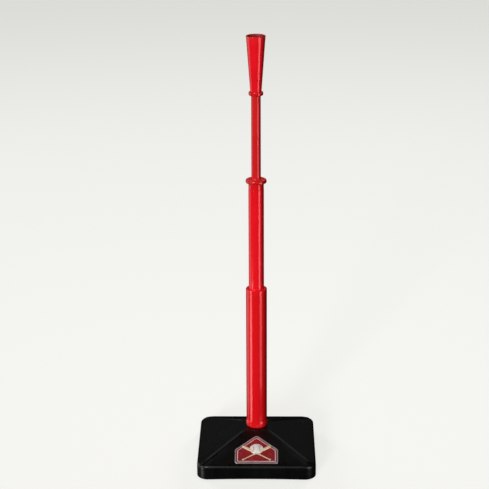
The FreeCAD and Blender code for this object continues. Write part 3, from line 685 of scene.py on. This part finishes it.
def make_shell():
    """The base shell, with its inner column and screw bosses."""
    rings = shell_rings()
    count = len(rings[0])
    vertices = [point for points in rings for point in points]
    faces = []
    for i in range(len(rings) - 1):
        for k in range(count):
            m = (k + 1) % count
            a, b = i * count, (i + 1) * count
            faces.append((a + k, b + k, b + m, a + m))
    last = (len(rings) - 1) * count
    for k in range(count):
        m = (k + 1) % count
        faces.append((last + k, k, m, last + m))
    studs = [COLUMN]
    studs += [(CORNER_BOSS * a, CORNER_BOSS * b, *CORNER_STUD) for a in (-1, 1) for b in (-1, 1)]
    studs += [
        (SIDE_BOSS * a, SIDE_BOSS * b, *SIDE_STUD) for a, b in ((0, 1), (0, -1), (1, 0), (-1, 0))
    ]
    for place in studs:
        more, sides = stud(*place)
        faces += [tuple(len(vertices) + i for i in face) for face in sides]
        vertices += more
    new_piece(
        "base_shell_skin", "base", vertices, faces, [shell_black], replaces=["base_shell"],
    )


# ---------------------------------------------------------------- badge

# half its width, half its height, its upright side, then how far in front of the stem it sits
BADGE_HALF, BADGE_RISE, BADGE_SIDE = round(half_width("badge_plate"), 1), 48.5, 47.0
BADGE_REACH, BADGE_ROUNDING = 96.5, 6.0
FIELD = 0.95
BAT_LEAN, BAT_MIDDLE, BAT_DROP = 33, 43.6, 13.0
BALL_CENTRE, BALL_RADIUS, BALL_RISE = (0.0, 1.0), 17.5, 3.0
STITCHES, STITCH_RADIUS = 9, 0.42
BADGE_PLACE = Matrix.Translation(
    Vector((0, -BADGE_REACH, SHOULDER + (HALF - BADGE_REACH) * SLOPE))
) @ Matrix.Rotation(math.atan(SLOPE), 4, "X")


def on_badge(points):
    """Points of the badge's own frame, in mm, brought to the row frame."""
    return [tuple(BADGE_PLACE @ Vector(point)) for point in points]


def pentagon(inset, rounding):
    """The badge's outline drawn in by inset."""
    top = -BADGE_RISE + BADGE_SIDE
    corners = [
        (-BADGE_HALF, -BADGE_RISE), (BADGE_HALF, -BADGE_RISE), (BADGE_HALF, top), (0.0, BADGE_RISE),
        (-BADGE_HALF, top),
    ]
    moved = []
    count = len(corners)
    for i in range(count):
        before, here, after = (np.array(corners[(i + k) % count], float) for k in (-1, 0, 1))
        into = (here - before) / np.linalg.norm(here - before)
        out = (after - here) / np.linalg.norm(after - here)
        first, second = np.array([-into[1], into[0]]), np.array([-out[1], out[0]])
        shift = (first + second) / (1 + float(first @ second))
        moved.append((*(here + inset * shift), rounding))
    return [(x, y) for x, y, _, _ in rounded_outline(moved, 9.0)]


def make_badge():
    """A home-plate badge: raised rim, enamelled field, pale inner line, crossed bats and a ball."""
    # inset from the outline, height, material: 0 the silver rim, 1 the red field, 2 the pale line
    levels = [
        (0.0, 0.0, 0), (0.0, 1.0, 0), (0.25, 1.35, 0), (0.7, 1.5, 0), (3.0, 1.5, 0), (3.4, 1.35, 0),
        (3.6, FIELD, 1), (6.4, FIELD, 1), (6.45, 1.12, 2), (7.85, 1.12, 2), (7.9, FIELD, 1),
    ]
    vertices, faces, slots = [], [], []
    count = len(pentagon(0, BADGE_ROUNDING))
    for inset, height, _ in levels:
        rounding = max(1.0, BADGE_ROUNDING - 0.5 * inset)
        vertices += [(x, y, height) for x, y in pentagon(inset, rounding)]
    for i, (_, _, slot) in enumerate(levels[1:]):
        a, b = i * count, (i + 1) * count
        for k in range(count):
            m = (k + 1) % count
            faces.append((a + k, a + m, b + m, b + k))
            slots.append(slot)
    last = (len(levels) - 1) * count
    vertices.append((0.0, -6.0, FIELD))
    for k in range(count):
        faces.append((last + k, last + (k + 1) % count, len(vertices) - 1))
        slots.append(1)
    piece = new_piece(
        "badge_skin", "base", on_badge(vertices), faces, [badge_silver, badge_red, badge_white],
        replaces=["badge_plate"], face_slots=slots,
    )
    sharpen(piece, 35)
    make_badge_bats()
    make_badge_ball()


def sharpen(piece, degrees):
    """Splits the shading of a piece at its sharp edges."""
    mesh = bmesh.new()
    mesh.from_mesh(piece.data)
    for edge in mesh.edges:
        if len(edge.link_faces) == 2:
            edge.smooth = edge.calc_face_angle() < math.radians(degrees)
    mesh.to_mesh(piece.data)
    mesh.free()


def make_badge_bats():
    """Two bats in low relief, crossed below the ball. shape is (place along the bat, radius)."""
    shape = [
        (0.0, 0.0), (0.6, 2.6), (1.6, 3.2), (2.8, 2.8), (3.6, 1.7), (6.0, 1.35), (30.0, 1.6),
        (46.0, 2.5), (58.0, 3.6), (70.0, 4.2), (82.0, 4.3), (85.0, 3.9), (86.6, 2.6), (87.2, 0.0),
    ]
    sides = 14
    for name, lean, lift in (
        ("badge_bat_left", 180 - BAT_LEAN, 0.25), ("badge_bat_right", BAT_LEAN, 0.0),
    ):
        vertices, faces = [], []
        turn = Matrix.Rotation(math.radians(lean), 4, "Z")
        for length, r in shape:
            for k in range(sides + 1):
                angle = math.pi * k / sides
                across, up = r * math.cos(angle), 0.42 * r * math.sin(angle)
                spot = turn @ Vector((length - BAT_MIDDLE, across, up))
                vertices.append((spot.x, spot.y - BAT_DROP, FIELD - 0.02 + spot.z + lift))
        row = sides + 1
        for i in range(len(shape) - 1):
            a, b = i * row, (i + 1) * row
            for k in range(sides):
                faces.append((a + k, b + k, b + k + 1, a + k + 1))
        new_piece(name, "base", on_badge(vertices), faces, [wood])


def make_badge_ball():
    """A ball in low relief with its two curved seams of stitches."""
    centre, r = BALL_CENTRE, BALL_RADIUS
    sphere = (r * r + BALL_RISE * BALL_RISE) / (2 * BALL_RISE)

    def lift(x, y):
        return FIELD + math.sqrt(max(sphere * sphere - x * x - y * y, 0)) - (sphere - BALL_RISE)

    rows, sides = 12, 56
    vertices, faces = [(centre[0], centre[1], lift(0, 0))], []
    for i in range(1, rows + 1):
        reach = r * i / rows
        for k in range(sides):
            x, y = reach * math.cos(TAU * k / sides), reach * math.sin(TAU * k / sides)
            vertices.append((centre[0] + x, centre[1] + y, lift(x, y)))
    for k in range(sides):
        faces.append((0, 1 + k, 1 + (k + 1) % sides))
    for i in range(rows - 1):
        for k in range(sides):
            m = (k + 1) % sides
            a, b = 1 + i * sides, 1 + (i + 1) * sides
            faces.append((a + k, b + k, b + m, a + m))
    new_piece("badge_ball", "base", on_badge(vertices), faces, [leather])

    vertices, faces = [], []
    for side in (-1, 1):
        for k in range(STITCHES):
            along = (k - 4) / 4 * 0.86
            y = 13.4 * along
            x = side * (7.2 + 4.6 * along * along)
            for lean in (-1, 1):
                tip = (x + side * lean * 1.9, y + 1.5)
                add_bar(vertices, faces, (x, y), tip, STITCH_RADIUS, lift, centre)
    new_piece("badge_stitches", "base", on_badge(vertices), faces, [stitch_red])


def add_bar(vertices, faces, start, end, r, lift, centre):
    """A short round-backed bar laid on the ball from start to end."""
    a, b = np.array(start), np.array(end)
    along = (b - a) / np.linalg.norm(b - a)
    side = np.array([-along[1], along[0]])
    first = len(vertices)
    for t, swell in ((0.0, 0.4), (0.15, 1.0), (0.85, 1.0), (1.0, 0.4)):
        spot = a + (b - a) * t
        for k in range(7):
            angle = math.pi * k / 6
            x, y = spot + side * (r * swell * math.cos(angle))
            z = lift(x, y) + r * swell * math.sin(angle) * 0.9 - 0.05
            vertices.append((centre[0] + x, centre[1] + y, z))
    for i in range(3):
        for k in range(6):
            j = first + i * 7 + k
            faces.append((j, j + 7, j + 8, j + 1))


# ---------------------------------------------------------------- hidden and small nodes

for node, material in (
    ("base_cover", cover_black), ("ballast_plate", primer),
    ("foot_front_left", foot_rubber), ("foot_front_right", foot_rubber),
    ("foot_rear_left", foot_rubber), ("foot_rear_right", foot_rubber),
    ("foot_screws", zinc), ("cover_screws", zinc), ("centre_bolt", zinc), ("lock_nut", zinc),
    ("load_washer", zinc), ("spring_washer", zinc), ("tube_washer", zinc),
    ("middle_piston", piston_black), ("upper_piston", piston_black),
    ("upper_tube_cap", piston_black),
    ("middle_o_ring_lower", ring_rubber), ("middle_o_ring_upper", ring_rubber),
    ("upper_o_ring_lower", ring_rubber), ("upper_o_ring_upper", ring_rubber),
):
    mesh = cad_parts[node].data
    mesh.materials.clear()
    mesh.materials.append(material)

make_stem()
make_shell()
make_badge()


# ---------------------------------------------------------------- stage

FLOOR_SIZE = 30.0
FLOOR_PALE = (0.70, 0.70, 0.67)
FLOOR_FAR = (0.56, 0.57, 0.53)
FALLOFF_START, FALLOFF_END = 2.5, 8.0


def make_floor():
    """A plain pale floor that glows by its own emission, a little greyer far from the tee: painted
    falloff of light.
    """
    n = Nodes("floor_paint")
    # painted falloff of light: the glow turns greyer between these distances from the tee
    falloff = n.remap(n.around()[1], FALLOFF_START, FALLOFF_END, 0.0, 1.0)
    n.set(n.shader.inputs["Emission Color"], n.mix(falloff, FLOOR_PALE, FLOOR_FAR))
    material = n.finish((0.35, 0.35, 0.35), 0.9, Specular_IOR_Level=0.0, Emission_Strength=1.0)
    mesh = bpy.data.meshes.new("floor")
    corners = [(FLOOR_SIZE * a, FLOOR_SIZE * b, 0) for a, b in ((-1, -1), (1, -1), (1, 1), (-1, 1))]
    mesh.from_pydata(corners, [], [(0, 1, 2, 3)])
    mesh.materials.append(material)
    floor = bpy.data.objects.new("floor", mesh)
    bpy.context.scene.collection.objects.link(floor)
    floor.visible_glossy = False
    floor.visible_diffuse = False
    floor.visible_shadow = False


def towards(azimuth, elevation=0.0):
    """A unit vector from the tee into the studio: azimuth 0 is in front, 90 is at the right, +X."""
    a, e = math.radians(azimuth), math.radians(elevation)
    return Vector((math.sin(a) * math.cos(e), -math.cos(a) * math.cos(e), math.sin(e)))


def add_lamp(name, data, place, aim, gloss):
    """Puts a lamp in the scene, for gloss only or for diffuse light only."""
    lamp = bpy.data.objects.new(name, data)
    bpy.context.scene.collection.objects.link(lamp)
    lamp.location = place
    direction = Vector(aim) - Vector(place)
    lamp.rotation_euler = direction.to_track_quat("-Z", "Y").to_euler()
    lamp.visible_camera = False
    lamp.visible_glossy = gloss
    lamp.visible_diffuse = not gloss


WATTS_PER_RADIANCE = 4.0


def add_panel(name, place, aim, width, height, radiance, gloss=True):
    """A rectangular soft box at place, facing aim."""
    data = bpy.data.lights.new(name, "AREA")
    data.shape = "RECTANGLE"
    data.size, data.size_y = width, height
    data.energy = WATTS_PER_RADIANCE * width * height * radiance
    add_lamp(name, data, place, aim, gloss)


def add_strip(name, azimuth, distance, low, high, degrees, radiance):
    """An upright soft box that draws a line of gloss down the stem."""
    place = towards(azimuth) * distance
    place.z = (low + high) / 2
    width = 2 * distance * math.tan(math.radians(degrees / 2))
    add_panel(name, place, (0, 0, place.z), width, high - low, radiance)


def add_sun(name, azimuth, elevation, strength, degrees):
    """An even light from far away. strength is what an upright white wall that faces it gets."""
    data = bpy.data.lights.new(name, "SUN")
    data.energy = strength * math.pi / math.cos(math.radians(elevation))
    data.angle = math.radians(degrees)
    add_lamp(name, data, towards(azimuth, elevation) * 4, (0, 0, 0), False)


SURROUND = (0.80, 0.80, 0.78, 1.0)


def make_lights():
    """Soft studio light: low key from the front, fill from behind and above, strips for gloss."""
    world = bpy.data.worlds.new("surround")
    world.use_nodes = True
    world.node_tree.nodes["Background"].inputs[0].default_value = SURROUND
    world.cycles_visibility.diffuse = False
    world.cycles_visibility.glossy = False
    bpy.context.scene.world = world
    # name, azimuth, elevation, strength, degrees
    add_sun("key", -18, 12, 0.88, 12)
    add_sun("back_left", -140, 15, 0.40, 20)
    add_sun("back_right", 152, 15, 0.45, 20)
    add_sun("bounce", 20, -60, 0.05, 60)
    # a panel: name, place, aim, width, height, radiance
    # a strip: name, azimuth, distance, low, high, degrees, radiance
    add_panel("top", (0.0, 0.0, 3.0), (0, 0, 0), 2.5, 2.5, 0.9, gloss=False)
    add_strip("right_strip", 49, 1.4, -0.07, 0.88, 25, 2.9)
    add_strip("right_strip_low", 49, 1.4, -0.42, -0.07, 25, 1.7)
    add_strip("left_strip", -62, 1.4, -0.58, -0.02, 22, 3.6)
    add_strip("left_wall", -108, 1.6, -0.62, 1.2, 46, 0.7)
    add_strip("front_strip", -30, 2.2, 0.95, 3.2, 20, 7.0)
    add_panel("front_sheet", (0, -2.4, 2.0), (0, 0, 0), 2.2, 2.6, 0.50)
    add_panel("rib_sheet", (0, 1.32, 1.64), (0, 0, 0.05), 1.7, 0.54, 0.64)
    add_strip("left_glint", -68, 4.0, 1.6, 3.0, 14, 10.0)
    add_strip("right_glint", 47, 4.0, 1.6, 3.0, 15, 5.0)
    add_panel("back_sheet", (0, 3.0, 1.1), (0, 0, 0), 3.5, 1.4, 0.045)


CAMERA_PLACE = (0.030, -3.593, 1.783)
YAW, PITCH, ROLL = 0.953, 18.47, -0.30
SENSOR, LENS = 36.0, 110.43


def make_camera():
    """The camera: a long lens looking down on the tee from the front."""
    data = bpy.data.cameras.new("camera")
    data.sensor_width = SENSOR
    data.lens = LENS
    camera = bpy.data.objects.new("camera", data)
    bpy.context.scene.collection.objects.link(camera)
    turn = Matrix.Rotation(math.radians(YAW), 4, "Z")
    tilt = Matrix.Rotation(math.radians(90 - PITCH), 4, "X")
    roll = Matrix.Rotation(math.radians(ROLL), 4, "Z")
    camera.matrix_world = Matrix.Translation(CAMERA_PLACE) @ turn @ tilt @ roll
    bpy.context.scene.camera = camera


make_floor()
make_lights()
make_camera()
bpy.context.scene.view_settings.view_transform = "Standard"
